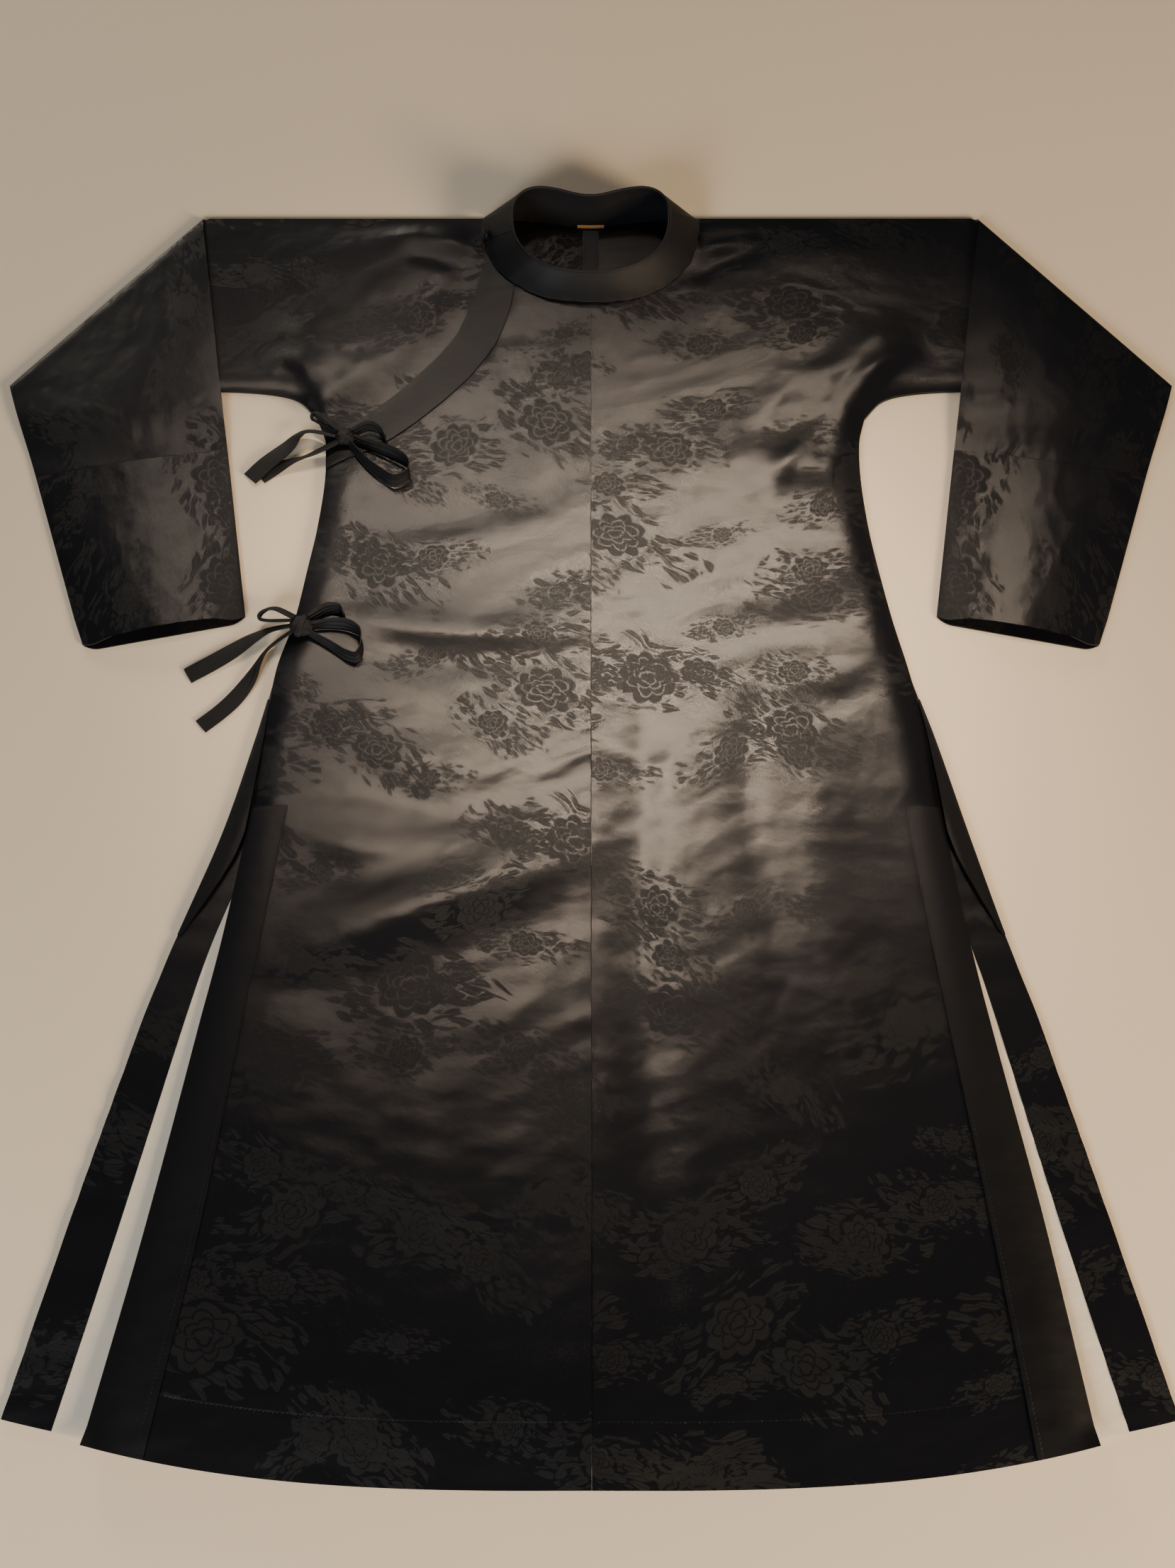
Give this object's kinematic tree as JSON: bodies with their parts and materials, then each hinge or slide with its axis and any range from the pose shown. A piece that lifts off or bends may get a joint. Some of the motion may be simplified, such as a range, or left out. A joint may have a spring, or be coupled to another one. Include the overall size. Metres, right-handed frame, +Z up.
{
  "type": "round-collar hanfu robe",
  "caption": "Long damask robe laid flat, with a standing round collar, a curved overlap tied at the side, folded sleeves and slit sides.",
  "frame": {"origin": "centre of the outline, on the surface that the robe lies on", "axes": "+X to the wearer's left, +Y from the hem to the neck, +Z up from the surface"},
  "size_m": [1.0516, 1.129, 0.0441],
  "materials": {
    "damask": "satin damask with tone-on-tone flowers and leaves",
    "plain_satin": "plain satin",
    "lining": "matte cream lining",
    "tape": "matte tape",
    "tab": "matte ochre tab",
    "cord": "satin cord",
    "ribbon": "satin ribbon"
  },
  "bodies": {
    "root": {"back_left": "damask", "back_right": "damask", "front_left": "damask", "front_overlap": "damask", "front_inner": "damask", "sleeve_left": "damask", "sleeve_right": "damask", "slit_facing_back_left": "damask", "slit_facing_back_right": "damask", "collar": "plain_satin", "overlap_facing": "plain_satin", "slit_facing_front_left": "plain_satin", "slit_facing_front_right": "plain_satin", "side_turn_left": "plain_satin", "side_turn_right": "plain_satin", "skirt_lining": "lining", "back_seam_tape": "tape", "neck_tab": "tab", "knot_button": "cord", "button_loop": "cord", "tie_upper_knot": "ribbon", "tie_upper_loop_outer": "ribbon", "tie_upper_loop_inner": "ribbon", "tie_upper_loop_long": "ribbon", "tie_upper_tail_top": "ribbon", "tie_upper_tail_under": "ribbon", "tie_lower_knot": "ribbon", "tie_lower_loop_outer": "ribbon", "tie_lower_loop_inner": "ribbon", "tie_lower_loop_long": "ribbon", "tie_lower_tail_top": "ribbon", "tie_lower_tail_under": "ribbon"}
  },
  "joints": []
}
